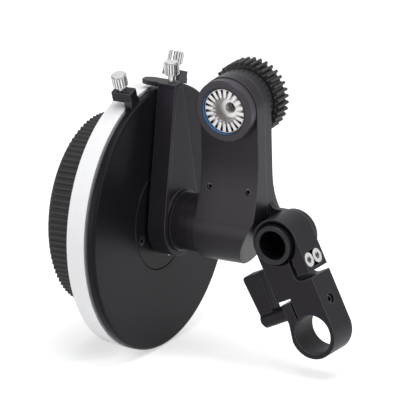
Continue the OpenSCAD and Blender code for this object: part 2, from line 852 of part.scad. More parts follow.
// Outline of the arm shrunk by inset: x is +Y, y is height
module arm_outline(inset) {
    r = arm_hub_r - inset;
    top = arm_top - inset;
    half = arm_top_w / 2 - inset * 0.9;
    // Where the straight sides leave the round end
    lean = asin((r - half) / sqrt(top * top + pow(half, 2)));
    circle(r = r, $fn = fn_large);
    polygon([
        [-half, top], [-r * cos(lean) + sink, r * sin(lean)],
        [r * cos(lean) - sink, r * sin(lean)], [half, top]
    ]);
}

module index_arm() {
    color([0.09, 0.09, 0.10]) difference() {
        on_wheel(arm_x) difference() {
            linear_extrude(arm_t) difference() {
                union() {
                    arm_outline(0);
                    translate([-arm_top_w / 2, arm_top - 1])
                        square([arm_top_w, pointer_t + 1]);
                }
                // The rear top corner is rounded
                translate([arm_top_w / 2 - arm_round, pointer_top - arm_round]) difference() {
                    square(2 * arm_round);
                    circle(r = arm_round);
                }
            }
            translate([0, 0, -1]) cylinder(r = spigot_r, h = arm_t + 2);
            translate([0, 0, arm_t - web_depth]) linear_extrude(arm_t) difference() {
                union() {
                    arm_outline(web_rim);
                    square([2 * arm_hub_r, arm_top]);
                }
                circle(r = neck_ring_r + 0.6);
            }
        }
        in_unit() translate([pointer_screw_x, 0, arm_top - pointer_screw_depth - 0.5])
            cylinder(r = thumb_thread_d / 2 + run_fit, h = pointer_screw_depth + 1);
        // Slot for the pointer, and the place of its screw
        in_unit() translate([arm_x - 1, -pointer_w / 2 - slot_fit, arm_top])
            cube([pointer_end - arm_x + 1 + slot_fit, pointer_w + 2 * slot_fit, pointer_t + 1]);
        on_arm_screw() translate([0, 0, -10]) cylinder(r = grub_r, h = 12);
    }
}

// Place of the grub screw in the arm's lower end; z points down and outwards
module on_arm_screw() {
    in_unit() translate([arm_x + arm_t / 2, 0, 0]) rotate([180, 0, 0])
        translate([0, 0, arm_hub_r - 0.3]) children();
}

module arm_set_screw() {
    color([0.20, 0.20, 0.21]) on_arm_screw()
        grub_screw(grub_r, arm_hub_r - spigot_r - 0.3);
}

module pointer() {
    tip_w = pointer_w * 0.52;
    end_x = pointer_end;
    root = -pointer_reach + 2.6;
    color([0.10, 0.10, 0.11]) in_unit() difference() {
        translate([0, 0, arm_top]) linear_extrude(pointer_t) polygon([
            [-pointer_reach, -tip_w / 2], [root, -pointer_w / 2],
            [end_x, -pointer_w / 2], [end_x, pointer_w / 2],
            [root, pointer_w / 2], [-pointer_reach, tip_w / 2]
        ]);
        translate([pointer_screw_x, 0, arm_top - 1])
            cylinder(r = thumb_thread_d / 2 + run_fit, h = pointer_t + 2);
        // Slope under the tip
        translate([-pointer_reach, 0, arm_top]) rotate([0, 24, 0])
            translate([-4, -pointer_w, -3]) cube([6.4, 2 * pointer_w, 3]);
    }
}

module pointer_screw() {
    color([0.80, 0.80, 0.82]) in_unit() translate([pointer_screw_x, 0, pointer_top])
        thumbscrew(pointer_t + pointer_screw_depth, thumb_neck_h);
}

// ---- hand wheel -------------------------------------------------------------

module on_hub_screws() {
    for (i = [0 : 3]) rotate(hub_screw_turn + i * 90)
        translate([hub_screw_pcr, 0, 0]) children();
}

module wheel_disc() {
    recess = hub_plate_r + 0.15;
    under = groove_w + groove_reach;
    color([0.09, 0.09, 0.10]) on_wheel(-disc_t) difference() {
        rotate_extrude($fn = fn_large) polygon([
            [shaft_r, 0], [groove_floor, 0], [groove_floor, under], [groove_lip, under],
            [groove_lip, groove_w], [disc_r, groove_w],
            for (a = [0 : 18 : 90])
                [disc_r - rim_round * (1 - cos(a)), disc_t - rim_round * (1 - sin(a))],
            [recess, disc_t], [recess, disc_t - plate_t], [shaft_r, disc_t - plate_t]
        ]);
        on_hub_screws() translate([0, 0, -1]) cylinder(r = hub_screw_r, h = disc_t);
    }
}

module wheel_drum() {
    color([0.09, 0.09, 0.10]) on_wheel(drum_x) difference() {
        rotate_extrude($fn = fn_large) polygon([
            [shaft_r, 0], [drum_r, 0], [drum_r, mark_w], [drum_r - drum_wall, mark_w],
            [drum_r - drum_wall, drum_web], [drum_hub_r, drum_web],
            [drum_hub_r, mark_w], [shaft_r, mark_w]
        ]);
        translate([0, 0, 2]) on_hub_screws() cylinder(r = hub_screw_r, h = mark_w);
        on_grip_screws() translate([0, 0, -drum_web - 1])
            cylinder(r = grip_screw_r, h = mark_w);
    }
}

module marking_ring() {
    far_r = disc_r - 0.8;
    color([0.93, 0.93, 0.91]) on_wheel(drum_x) rotate_extrude($fn = fn_large)
        polygon([
            [drum_r, 0], [far_r - edge, 0], [far_r, edge],
            [disc_r - 0.05, mark_w], [drum_r, mark_w]
        ]);
}

// Screws from the drum's web into the foot of the grip; z is +X at the web
module on_grip_screws() {
    for (i = [0 : 2]) rotate(90 + i * 120)
        translate([grip_screw_pcr, 0, drum_web]) children();
}

grip_foot_t = 4;                                    // flange at the grip's open end
grip_foot_r = grip_screw_pcr - 4;

module grip_knob() {
    outer = grip_r - rib_h;
    rib_step = 360 / rib_count;
    smooth_end = 1;
    color([0.07, 0.07, 0.08]) on_wheel(grip_x) difference() {
        union() {
            rotate_extrude($fn = fn_large) polygon([
                [shaft_r, cap_seat], [cap_r, cap_seat], [cap_r, 0],
                [outer - 1.2, 0], [outer, 1.2], [outer, grip_w],
                [grip_foot_r, grip_w], [grip_foot_r, grip_w - grip_foot_t],
                [outer - grip_wall, grip_w - grip_foot_t],
                [outer - grip_wall, grip_end_t], [grip_hub_r, grip_end_t],
                [grip_hub_r, grip_w], [shaft_r, grip_w]
            ]);
            translate([0, 0, 1.2]) linear_extrude(grip_w - 1.2 - smooth_end)
                difference() {
                    polygon([
                        for (i = [0 : rib_count - 1], p = [[0, 0], [0.28, 1], [0.58, 1], [0.86, 0]])
                            (outer - 0.1 + (rib_h + 0.1) * p[1])
                            * [cos((i + p[0]) * rib_step), sin((i + p[0]) * rib_step)]
                    ]);
                    circle(r = outer - 1, $fn = fn_large);
                }
        }
        translate([0, 0, grip_w - drum_web]) on_grip_screws()
            translate([0, 0, -grip_hole_len]) cylinder(r = grip_screw_r, h = grip_hole_len + 1);
    }
}

module grip_screws() {
    color([0.20, 0.20, 0.21]) on_wheel(drum_x) on_grip_screws()
        socket_screw(grip_screw_r, grip_screw_r * 1.8, grip_head_h,
                     drum_web + grip_screw_hold);
}

module grip_cap() {
    color([0.10, 0.10, 0.11]) on_wheel(grip_x) rotate_extrude($fn = fn_large)
        polygon([
            [0, 0], [cap_r - edge, 0], [cap_r, edge], [cap_r, cap_seat],
            [cap_r - 1, cap_seat], [cap_r - 1, cap_t], [0, cap_t]
        ]);
}

module hub_plate() {
    color([0.11, 0.11, 0.12]) on_wheel(-plate_t) difference() {
        rotate_extrude($fn = fn_large) polygon([
            [shaft_r, 0], [hub_plate_r, 0], [hub_plate_r, plate_t - edge],
            [hub_plate_r - edge, plate_t], [shaft_r, plate_t]
        ]);
        on_hub_screws() {
            translate([0, 0, -1]) cylinder(r = hub_screw_r, h = plate_t + 2);
            translate([0, 0, plate_t - hub_head_t]) cylinder(r = hub_head_r, h = plate_t);
        }
    }
}

module hub_screws() {
    color([0.80, 0.80, 0.82]) on_wheel(-hub_head_t) on_hub_screws()
        socket_screw(hub_screw_r, hub_head_r, hub_head_t - 0.15, disc_t + 2);
}

module wheel_shaft() {
    far = grip_x + cap_seat;
    shoulder = drive_x - crown_back;
    color([0.60, 0.60, 0.62]) on_wheel(far) difference() {
        union() {
            cylinder(r = shaft_r, h = shoulder - far);
            cylinder(r = drive_r, h = drive_x - pinion_r - far + 0.4);
        }
        translate([0, 0, -1]) cylinder(r = 1.5, h = 9.5);
    }
}

module shaft_screw() {
    color([0.60, 0.60, 0.62]) on_wheel(grip_x + cap_seat) rotate([180, 0, 0])
        socket_screw(1.5, 3.4, 0.9, 8);
}

// ---- inner gears --------------------------------------------------------------

// Pitch of the inner gears, measured as a length
inner_pitch = PI * inner_module;

// Straight-sided tooth: half its width at the tip and at the root
tip_half = inner_pitch * tooth_tip / 2;
base_half = inner_pitch * tooth_base / 2;

// Crown wheel standing on z = 0 with its face teeth upwards, bored for drive_r
module crown_wheel() {
    root_z = crown_back - pinion_r - tooth_down;
    inner = crown_mid_r - crown_face_w / 2;
    tooth_h = tooth_down + tooth_up;
    difference() {
        union() {
            cylinder(r = crown_body_r, h = root_z);
            for (i = [0 : crown_teeth - 1]) rotate((i + 0.5) * 360 / crown_teeth)
                translate([inner, 0, root_z - 0.1]) rotate([90, 0, 90])
                    linear_extrude(crown_face_w) polygon([
                        [-base_half, 0], [base_half, 0],
                        [tip_half, tooth_h + 0.1], [-tip_half, tooth_h + 0.1]
                    ]);
        }
        translate([0, 0, -1]) cylinder(r = drive_r, h = root_z + 2);
    }
}

// Pinion standing on z = 0: teeth first, then its hub
module riser_pinion() {
    root = pinion_r - tooth_down;
    tip = pinion_r + tooth_up;
    difference() {
        union() {
            linear_extrude(pinion_w) {
                circle(r = root);
                for (i = [0 : pinion_teeth - 1]) rotate(i * 360 / pinion_teeth)
                    polygon([
                        [root - 0.3, -base_half], [tip, -tip_half],
                        [tip, tip_half], [root - 0.3, base_half]
                    ]);
            }
            translate([0, 0, pinion_w - 0.05])
                cylinder(r = pinion_hub_r, h = pinion_hub_len + 0.05);
        }
        translate([0, 0, -1]) cylinder(r = pinion_bore_r, h = pinion_far);
    }
}

module input_crown_wheel() {
    color([0.66, 0.60, 0.42]) on_wheel(drive_x - crown_back) crown_wheel();
}

module output_crown_wheel() {
    color([0.66, 0.60, 0.42]) on_drive(crown_back) mirror([0, 0, 1]) crown_wheel();
}

module lower_pinion() {
    color([0.60, 0.60, 0.62]) on_riser(pinion_low) riser_pinion();
}

module upper_pinion() {
    color([0.60, 0.60, 0.62]) on_riser(drive_rise - pinion_low)
        rotate(90) mirror([0, 0, 1]) riser_pinion();
}

module riser_shaft() {
    end = pinion_low - 0.1;
    step = pinion_far;
    color([0.60, 0.60, 0.62]) {
        on_riser(step) cylinder(r = riser_r, h = drive_rise - 2 * step);
        on_riser(end) cylinder(r = pinion_bore_r, h = drive_rise - 2 * end);
    }
}

// ---- drive shaft and drive gear -------------------------------------------------

module drive_shaft() {
    notch_w = PI * crown_r * 0.8 / crown_notches;
    // Stations below are measured from the crown's face
    hub_end = crown_hub_end - crown_y;
    journal_end = -crown_y + 2;
    end = gear_end - crown_y;
    color([0.80, 0.80, 0.82]) on_drive(crown_y) difference() {
        union() {
            turned(crown_r, crown_t, 0.15);
            cylinder(r = crown_hub_r, h = hub_end);
            cylinder(r = pinion_low - 0.25, h = cup_back - crown_y);
            cylinder(r = journal_r, h = journal_end);
            cylinder(r = drive_r, h = end);
        }
        translate([0, 0, -0.01])
            cylinder(r1 = cup_r, r2 = cup_floor_r, h = cup_depth + 0.01, $fn = fn_large);
        translate([0, 0, cup_depth - 1])
            cylinder(r = crank_hole_r, h = crank_hole_len + 1);
        for (i = [0 : crown_notches - 1]) rotate(notch_turn + i * 360 / crown_notches)
            translate([cup_r - 1, 0, -1]) linear_extrude(notch_depth + 1) polygon([
                [0, -notch_w * 0.3], [crown_rim_r - cup_r + 1, -notch_w / 2],
                [crown_rim_r - cup_r + 1, notch_w / 2], [0, notch_w * 0.3]
            ]);
        translate([0, 0, end - 7]) cylinder(r = 1.25, h = 8);
    }
}

module gear_outline() {
    step = 360 / drive_teeth;
    // Shares of a pitch: half width of the tooth at each radius
    flank = [
        [gear_root_r, 0.36], [gear_root_r + 0.35 * drive_module, 0.30],
        [gear_pitch_r, 0.245], [gear_pitch_r + 0.55 * drive_module, 0.18],
        [gear_tip_r, 0.10]
    ];
    rise = [for (p = flank) [p[0], -p[1]]];
    fall = [for (k = [len(flank) - 1 : -1 : 0]) flank[k]];
    polygon([
        for (i = [0 : drive_teeth - 1], p = concat(rise, fall))
            p[0] * [cos((i + p[1] + gear_turn) * step), sin((i + p[1] + gear_turn) * step)]
    ]);
}

module drive_gear() {
    color([0.12, 0.12, 0.13]) on_drive(gear_y) difference() {
        linear_extrude(drive_gear_w) gear_outline();
        translate([0, 0, -1]) cylinder(r = gear_recess_r, h = gear_recess_end - gear_y + 1);
        translate([0, 0, -1]) cylinder(r = drive_r, h = drive_gear_w + 2);
        // Shallow dish in the far face
        translate([0, 0, drive_gear_w - 0.6])
            tube_solid(gear_root_r - 1.6, 6, 1);
    }
}

module gear_washer() {
    color([0.60, 0.60, 0.62]) on_drive(gear_end) tube_solid(5, 1.45, 0.8);
}

module gear_screw() {
    color([0.60, 0.60, 0.62]) on_drive(gear_end + 0.8) socket_screw(1.25, 2.4, 2.5, 7);
}

// ---- hard stops -------------------------------------------------------------------

// One stop on the rim, centred at angle 0: z is outwards
module stop_block(bar_t) {
    bar_top = bar_low + bar_t;
    foot_low = groove_floor + hook_gap;
    back_x = -disc_t + hook_gap;
    neck_w = groove_w - 2 * hook_gap;
    difference() {
        union() {
            // Bar over the marking ring
            translate([stop_x - stop_len, -stop_w / 2, bar_low])
                cube([stop_len, stop_w, bar_t]);
            // Leg that stands on the rim of the disc
            translate([back_x, 0, 0]) rotate([90, 0, 90])
                linear_extrude(stop_x - back_x) polygon([
                    [-stop_foot_w / 2, disc_r + hook_gap], [stop_foot_w / 2, disc_r + hook_gap],
                    [stop_foot_w / 2, bar_low - 0.6], [stop_w / 2, bar_low + 0.6],
                    [stop_w / 2, bar_top], [-stop_w / 2, bar_top],
                    [-stop_w / 2, bar_low + 0.6], [-stop_foot_w / 2, bar_low - 0.6]
                ]);
            // Neck in the groove, and the hook under the groove's lip
            translate([back_x, -stop_foot_w / 2, foot_low])
                cube([neck_w, stop_foot_w, disc_r - foot_low + 1]);
            translate([back_x, -stop_foot_w / 2, foot_low])
                cube([neck_w + groove_reach, stop_foot_w, groove_lip - foot_low - hook_gap]);
        }
        translate([stop_screw_x, 0, bar_low - 1])
            cylinder(r = thumb_thread_d / 2 + run_fit, h = bar_t + 2);
    }
}

module stop_thumbscrew(bar_t) {
    translate([stop_screw_x, 0, bar_low + bar_t])
        thumbscrew(bar_low + bar_t - disc_r - 0.15, stop_neck_h);
}

module stop_a_block() {
    color([0.09, 0.09, 0.10]) on_rim(stop_a_angle) stop_block(stop_bar_t);
}

module stop_b_block() {
    color([0.09, 0.09, 0.10]) on_rim(stop_b_angle) stop_block(stop_b_bar_t);
}

module stop_a_screw() {
    color([0.80, 0.80, 0.82]) on_rim(stop_a_angle) stop_thumbscrew(stop_bar_t);
}

module stop_b_screw() {
    color([0.80, 0.80, 0.82]) on_rim(stop_b_angle) stop_thumbscrew(stop_b_bar_t);
}

// ---- all nodes ------------------------------------------------------------------------

clamp_link();
clamp_screws();
clamp_lever();
lever_stud();
lever_washer();
swing_tube();
tube_collar();
front_housing();
rear_housing();
case_screws();
front_set_screws();
port_ring();
port_sleeve();
port_bush();
drive_bush();
riser_bushes();
neck();
neck_ring();
shaft_bushes();
index_arm();
arm_set_screw();
pointer();
pointer_screw();
wheel_disc();
wheel_drum();
marking_ring();
grip_knob();
grip_screws();
grip_cap();
hub_plate();
hub_screws();
wheel_shaft();
shaft_screw();
input_crown_wheel();
riser_shaft();
lower_pinion();
upper_pinion();
drive_shaft();
output_crown_wheel();
drive_gear();
gear_washer();
gear_screw();
stop_a_block();
stop_a_screw();
stop_b_block();
stop_b_screw();
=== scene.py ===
# %% [markdown]
# A follow focus unit, lit and dressed.
# The unit clamps to a 15 mm support rod beside a camera. Turning the ribbed hand wheel turns
# a small gear at the back of the upright gearbox, and that gear turns the focus ring of a lens.
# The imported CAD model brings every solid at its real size, so this scene has two jobs:
# give each piece the finish that the real one has, and add the small forms that are finer
# than the CAD, such as screw threads.

# %% Load the fixed frame
import math

import bmesh
import bpy
from mathutils import Matrix, Vector


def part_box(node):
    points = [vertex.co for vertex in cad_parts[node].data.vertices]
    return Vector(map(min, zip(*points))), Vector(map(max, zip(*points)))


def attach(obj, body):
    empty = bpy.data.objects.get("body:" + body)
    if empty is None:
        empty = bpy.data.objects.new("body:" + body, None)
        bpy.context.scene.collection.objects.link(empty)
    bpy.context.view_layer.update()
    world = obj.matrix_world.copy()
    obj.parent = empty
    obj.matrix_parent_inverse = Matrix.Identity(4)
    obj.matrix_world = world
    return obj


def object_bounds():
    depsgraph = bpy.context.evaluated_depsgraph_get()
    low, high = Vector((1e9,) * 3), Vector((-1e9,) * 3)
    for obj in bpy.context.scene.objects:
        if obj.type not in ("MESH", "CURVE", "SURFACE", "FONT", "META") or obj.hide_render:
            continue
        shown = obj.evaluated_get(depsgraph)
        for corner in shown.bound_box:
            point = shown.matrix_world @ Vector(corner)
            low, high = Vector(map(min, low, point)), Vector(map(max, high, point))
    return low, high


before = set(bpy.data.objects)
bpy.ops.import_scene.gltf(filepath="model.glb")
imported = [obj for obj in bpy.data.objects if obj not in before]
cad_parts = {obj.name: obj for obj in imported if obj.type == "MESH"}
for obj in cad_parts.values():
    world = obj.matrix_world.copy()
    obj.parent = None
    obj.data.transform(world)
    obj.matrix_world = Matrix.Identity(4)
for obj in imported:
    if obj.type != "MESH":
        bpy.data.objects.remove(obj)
cad_low, cad_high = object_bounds()
print("CAD box in mm:", [round(1000 * v) for v in cad_low], [round(1000 * v) for v in cad_high])

# %% [markdown]
# The places that the finishes and the new pieces need.
# A turned piece shows fine rings around the axis of the lathe, so its finish has to know that
# axis. We could type the axes in by hand, but it is safer to take them from the boxes of the
# CAD nodes: the middle of a round piece lies on its axis.

# %% Read the axes from the CAD
def middle(node):
    low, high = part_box(node)
    return (low + high) / 2


wheel_axis = middle("wheel_disc")      # runs along X
drive_axis = middle("port_ring")       # runs along Y
tube_axis = middle("swing_tube")       # runs along Y
print("wheel axis", wheel_axis, "drive axis", drive_axis)

# %% [markdown]
# Small helpers for node materials.
# A material is a network of nodes. Making each node by hand takes three lines, so two short
# helpers keep the recipes readable: one makes a node and sets its values, the other starts a
# material that has a Principled shader.

# %% Helpers for nodes
def add_node(tree, kind, **values):
    made = tree.nodes.new(kind)
    for name, value in values.items():
        if hasattr(made, name):
            setattr(made, name, value)
        else:
            made.inputs[name.replace("_", " ")].default_value = value
    return made


def start_finish(name):
    finish = bpy.data.materials.new(name)
    finish.use_nodes = True
    tree = finish.node_tree
    tree.nodes.clear()
    shader = tree.nodes.new("ShaderNodeBsdfPrincipled")
    out = tree.nodes.new("ShaderNodeOutputMaterial")
    tree.links.new(shader.outputs["BSDF"], out.inputs["Surface"])
    return finish, tree, shader


# %% [markdown]
# Where on the piece are we?
# Every finish is drawn in millimetres from the piece's own coordinates, so the grain keeps its
# real size and stays on the piece when the piece moves. A Mapping node turns metres into
# millimetres and moves the origin to the lathe axis of a turned piece.

# %% Helpers for coordinates
def millimetres(tree, centre=(0, 0, 0)):
    coords = add_node(tree, "ShaderNodeTexCoord")
    mapping = add_node(tree, "ShaderNodeMapping", Scale=(1000, 1000, 1000),
                       Location=[-1000 * c for c in centre])
    tree.links.new(coords.outputs["Object"], mapping.inputs["Vector"])
    return mapping.outputs["Vector"]


def around_and_along(tree, place, axis):
    """A point's distance from the lathe axis, and how far along that axis it is."""
    across = add_node(tree, "ShaderNodeVectorMath", operation="MULTIPLY")
    across.inputs[1].default_value = [0 if a == axis else 1 for a in "XYZ"]
    radius = add_node(tree, "ShaderNodeVectorMath", operation="LENGTH")
    split = add_node(tree, "ShaderNodeSeparateXYZ")
    both = add_node(tree, "ShaderNodeCombineXYZ")
    tree.links.new(place, across.inputs[0])
    tree.links.new(across.outputs[0], radius.inputs[0])
    tree.links.new(place, split.inputs[0])
    tree.links.new(radius.outputs["Value"], both.inputs["X"])
    tree.links.new(split.outputs[axis], both.inputs["Y"])
    return both.outputs[0]


# %% [markdown]
# Edges that catch the light.
# A machined edge is never perfectly sharp: it is broken by a few tenths of a millimetre, and
# that narrow band shines. Bevelling forty-six meshes is one way, but the CAD meshes stay as they
# are, so the Bevel node rounds the shading instead. The same node also tells where the edges
# are: there its rounded normal leans away from the flat one.

# %% Helpers for edges
mask_softness = 8       # how much sooner the edge mask starts than it ends


def rounded_normal(tree, radius_mm):
    return add_node(tree, "ShaderNodeBevel", samples=6, Radius=radius_mm / 1000).outputs[0]


def edge_mask(tree, rounded, width=0.12):
    flat = add_node(tree, "ShaderNodeNewGeometry")
    agree = add_node(tree, "ShaderNodeVectorMath", operation="DOT_PRODUCT")
    mask = add_node(tree, "ShaderNodeMapRange")
    mask.inputs["From Min"].default_value = 1 - width / mask_softness
    mask.inputs["From Max"].default_value = 1 - width
    tree.links.new(rounded, agree.inputs[0])
    tree.links.new(flat.outputs["Normal"], agree.inputs[1])
    tree.links.new(agree.outputs["Value"], mask.inputs["Value"])
    return mask.outputs["Result"]


# %% [markdown]
# From a pattern to a surface.
# Three things make a surface look like itself: small changes of colour, small changes of
# roughness, and tiny bumps. These helpers turn a grey pattern into each of the three.

# %% Helpers for colour, roughness and relief
noise_low, noise_high = 0.3, 0.7       # nearly all of a noise lies between these


def grain(tree, place, per_mm, detail=2.0, flat=False):
    noise = add_node(tree, "ShaderNodeTexNoise", Scale=per_mm, Detail=detail)
    if flat:
        noise.noise_dimensions = "2D"
    tree.links.new(place, noise.inputs["Vector"])
    return noise.outputs["Fac"]


def between(tree, amount, low, high):
    """A number that goes from low to high with amount."""
    span = add_node(tree, "ShaderNodeMapRange")
    span.inputs["From Min"].default_value = noise_low
    span.inputs["From Max"].default_value = noise_high
    span.inputs["To Min"].default_value = low
    span.inputs["To Max"].default_value = high
    tree.links.new(amount, span.inputs["Value"])
    return span.outputs["Result"]


def blend_colours(tree, amount, first, second):
    """A mix of two colours, each either numbers or another node's output."""
    mix = add_node(tree, "ShaderNodeMix", data_type="RGBA")
    for socket, colour in ((mix.inputs[6], first), (mix.inputs[7], second)):
        if isinstance(colour, bpy.types.NodeSocket):
            tree.links.new(colour, socket)
        else:
            socket.default_value = (*colour, 1)
    tree.links.new(amount, mix.inputs[0])
    return mix.outputs[2]


def relief(tree, height, depth_mm, normal=None):
    bump = add_node(tree, "ShaderNodeBump", Strength=1.0, Distance=depth_mm / 1000)
    tree.links.new(height, bump.inputs["Height"])
    if normal is not None:
        tree.links.new(normal, bump.inputs["Normal"])
    return bump.outputs["Normal"]


# %% [markdown]
# Black anodised aluminium.
# The housing, the link and the arm are milled, bead blasted and dyed black. The surface is a
# satin black with a fine, even grain, and its edges are a little lighter because the dye is thin
# there. Two near blacks with a broad noise between them keep it from looking painted.

# %% The blasted black finish
dye_tint = (1.0, 0.93, 1.04, 1)        # the dye shines a little violet
milled_edge = (0.1, 0.095, 0.105)      # where the dye is thin on a milled edge


def blasted_black(name, tone=0.007, rough=0.36, gloss=0.26):
    finish, tree, shader = start_finish(name)
    place = millimetres(tree)
    fine = grain(tree, place, 7.0)
    broad = grain(tree, place, 0.16, detail=4.0)
    rounded = rounded_normal(tree, 0.5)
    body = blend_colours(tree, broad, (tone * 0.85, tone * 0.76, tone * 0.95),
                         (tone * 1.2, tone * 1.08, tone * 1.35))
    worn = blend_colours(tree, edge_mask(tree, rounded), body, milled_edge)
    tree.links.new(worn, shader.inputs["Base Color"])
    tree.links.new(between(tree, fine, rough - 0.05, rough + 0.07), shader.inputs["Roughness"])
    tree.links.new(relief(tree, fine, 0.006, rounded), shader.inputs["Normal"])
    shader.inputs["Specular IOR Level"].default_value = gloss
    shader.inputs["Specular Tint"].default_value = dye_tint
    return finish


# %% [markdown]
# The same black, turned on a lathe.
# The wheel disc, the neck and the ring round the crank port were turned before they were dyed,
# so very fine rings run round them. The pattern is a noise that is drawn over the distance from
# the axis and the distance along it: on a flat face it makes circles, on a round side it makes
# lines that run round the piece.

# %% The turned black finish
def turned_black(name, centre, axis, tone=0.006, rough=0.3, gloss=0.17):
    finish, tree, shader = start_finish(name)
    place = millimetres(tree, centre)
    lathe = around_and_along(tree, place, axis)
    rings = grain(tree, lathe, 6.0, detail=3.0, flat=True)
    broad = grain(tree, place, 0.12, detail=3.0)
    rounded = rounded_normal(tree, 0.3)
    body = blend_colours(tree, broad, (tone * 0.85, tone * 0.76, tone * 0.95),
                         (tone * 1.18, tone * 1.06, tone * 1.32))
    worn = blend_colours(tree, edge_mask(tree, rounded), body, (0.055, 0.054, 0.058))
    tree.links.new(worn, shader.inputs["Base Color"])
    tree.links.new(between(tree, rings, rough - 0.06, rough + 0.08), shader.inputs["Roughness"])
    tree.links.new(relief(tree, rings, 0.004, rounded), shader.inputs["Normal"])
    shader.inputs["Specular IOR Level"].default_value = gloss
    shader.inputs["Specular Tint"].default_value = dye_tint
    return finish


# %% [markdown]
# The ribbed grip.
# The grip is a moulded or fluted black ring with a duller, rubber-like skin. Its ribs are in the
# CAD, so the finish only adds a matte skin with a little dust-like mottling and soft edges.

# %% The matte grip finish
def matte_grip(name):
    finish, tree, shader = start_finish(name)
    place = millimetres(tree)
    fine = grain(tree, place, 3.5, detail=4.0)
    broad = grain(tree, place, 0.2, detail=3.0)
    rounded = rounded_normal(tree, 0.15)
    body = blend_colours(tree, broad, (0.014, 0.0132, 0.0145), (0.026, 0.0245, 0.027))
    worn = blend_colours(tree, edge_mask(tree, rounded, 0.3), body, (0.05, 0.049, 0.052))
    tree.links.new(worn, shader.inputs["Base Color"])
    tree.links.new(between(tree, fine, 0.55, 0.72), shader.inputs["Roughness"])
    tree.links.new(relief(tree, fine, 0.01, rounded), shader.inputs["Normal"])
    shader.inputs["Specular IOR Level"].default_value = 0.4
    return finish


# %% [markdown]
# The white marking ring.
# The operator writes focus marks on this ring, so it is a smooth, matte white plastic. It is
# blank here. A faint mottling and very fine lathe lines keep it from being flat.

# %% The white ring finish
def marking_white(name, centre):
    finish, tree, shader = start_finish(name)
    place = millimetres(tree, centre)
    lathe = around_and_along(tree, place, "X")
    rings = grain(tree, lathe, 4.0, detail=2.0, flat=True)
    broad = grain(tree, place, 0.08, detail=3.0)
    body = blend_colours(tree, broad, (0.80, 0.80, 0.81), (0.86, 0.86, 0.86))
    tree.links.new(body, shader.inputs["Base Color"])
    tree.links.new(between(tree, rings, 0.42, 0.56), shader.inputs["Roughness"])
    tree.links.new(relief(tree, rings, 0.004, rounded_normal(tree, 0.3)), shader.inputs["Normal"])
    shader.inputs["Specular IOR Level"].default_value = 0.45
    return finish


# %% [markdown]
# Metals that are left bare.
# The thumbscrews, the crown and the cap screws are bright, the grub screws and the stud are
# darker steel, and the bushes are bronze. One recipe serves them all: a metallic shader whose
# roughness follows fine tool marks. Its colour also holds painted shade: an Ambient Occlusion
# node tells how open each place is, and notches, flutes and sockets are painted darker where
# they are closed in. The crown's notches get this painted shade at their outer ends only, so a
# turned piece can keep only a light painted shade within a given distance from its axis.

# %% The bare metal finish
inner_cavity_level = 0.75     # painted shade of a cavity near the axis, as a share of its colour
shade_fade_mm = 1.2     # over this distance the painted shade turns dark


# The Ambient Occlusion value below decides where bare_metal paints shade into the colour.
def in_the_open(tree, reach_mm, shut=0.4, clear=0.95):
    """0 down in a cavity and 1 out in the open."""
    around = add_node(tree, "ShaderNodeAmbientOcclusion", samples=12, Distance=reach_mm / 1000)
    span = add_node(tree, "ShaderNodeMapRange")
    span.inputs["From Min"].default_value = shut
    span.inputs["From Max"].default_value = clear
    tree.links.new(around.outputs["AO"], span.inputs["Value"])
    return span.outputs["Result"]


def further_out(tree, lathe, start_mm, end_mm):
    """0 within start_mm of the lathe axis and 1 beyond end_mm."""
    split = add_node(tree, "ShaderNodeSeparateXYZ")
    span = add_node(tree, "ShaderNodeMapRange")
    span.inputs["From Min"].default_value = start_mm
    span.inputs["From Max"].default_value = end_mm
    tree.links.new(lathe, split.inputs[0])
    tree.links.new(split.outputs["X"], span.inputs["Value"])
    return span.outputs["Result"]


def bare_metal(name, colour, rough, centre=(0, 0, 0), axis=None, marks=5.0, shade=0.8,
               reach=1.2, cavity_shade=0.25, lighter_shade_within=None):
    finish, tree, shader = start_finish(name)
    place = millimetres(tree, centre)
    pattern = around_and_along(tree, place, axis) if axis else place
    tool = grain(tree, pattern, marks, detail=3.0, flat=axis is not None)
    broad = grain(tree, place, 0.5, detail=3.0)
    rounded = rounded_normal(tree, 0.12)
    body = blend_colours(tree, broad, [c * shade for c in colour], colour)
    # Painted shade: closed places darken, and less so near the lathe axis of a turned piece.
    shut = [c * cavity_shade for c in colour]
    if lighter_shade_within:
        outer = further_out(tree, pattern, lighter_shade_within, lighter_shade_within + shade_fade_mm)
        shut = blend_colours(tree, outer, [c * inner_cavity_level for c in colour], shut)
    body = blend_colours(tree, in_the_open(tree, reach), shut, body)
    tree.links.new(body, shader.inputs["Base Color"])
    tree.links.new(between(tree, tool, rough - 0.06, rough + 0.09), shader.inputs["Roughness"])
    tree.links.new(relief(tree, tool, 0.003, rounded), shader.inputs["Normal"])
    shader.inputs["Metallic"].default_value = 1.0
    return finish


# %% [markdown]
# The blue sleeve in the crank port.
# A thin sleeve lines the port. Its wall inside is dyed a clear blue, but its front end was faced
# off together with the black ring, so no blue shows there. The finish finds that end by how far
# a point lies behind the mouth of the port, and keeps it black.

# %% The blue sleeve finish
def lined_blue(name, mouth):
    finish, tree, shader = start_finish(name)
    lathe = around_and_along(tree, millimetres(tree, mouth), "Y")
    rings = grain(tree, lathe, 5.0, detail=3.0, flat=True)
    behind = add_node(tree, "ShaderNodeSeparateXYZ")
    wall = add_node(tree, "ShaderNodeMapRange")
    wall.inputs["From Min"].default_value = 0.03
    wall.inputs["From Max"].default_value = 0.12
    tree.links.new(lathe, behind.inputs[0])
    tree.links.new(behind.outputs["Y"], wall.inputs["Value"])
    dyed = blend_colours(tree, rings, (0.07, 0.21, 0.52), (0.11, 0.32, 0.74))
    body = blend_colours(tree, wall.outputs["Result"], (0.014, 0.0135, 0.015), dyed)
    tree.links.new(body, shader.inputs["Base Color"])
    tree.links.new(between(tree, rings, 0.34, 0.48), shader.inputs["Roughness"])
    tree.links.new(relief(tree, rings, 0.003), shader.inputs["Normal"])
    shader.inputs["Metallic"].default_value = 0.4
    shader.inputs["Specular IOR Level"].default_value = 0.4
    return finish


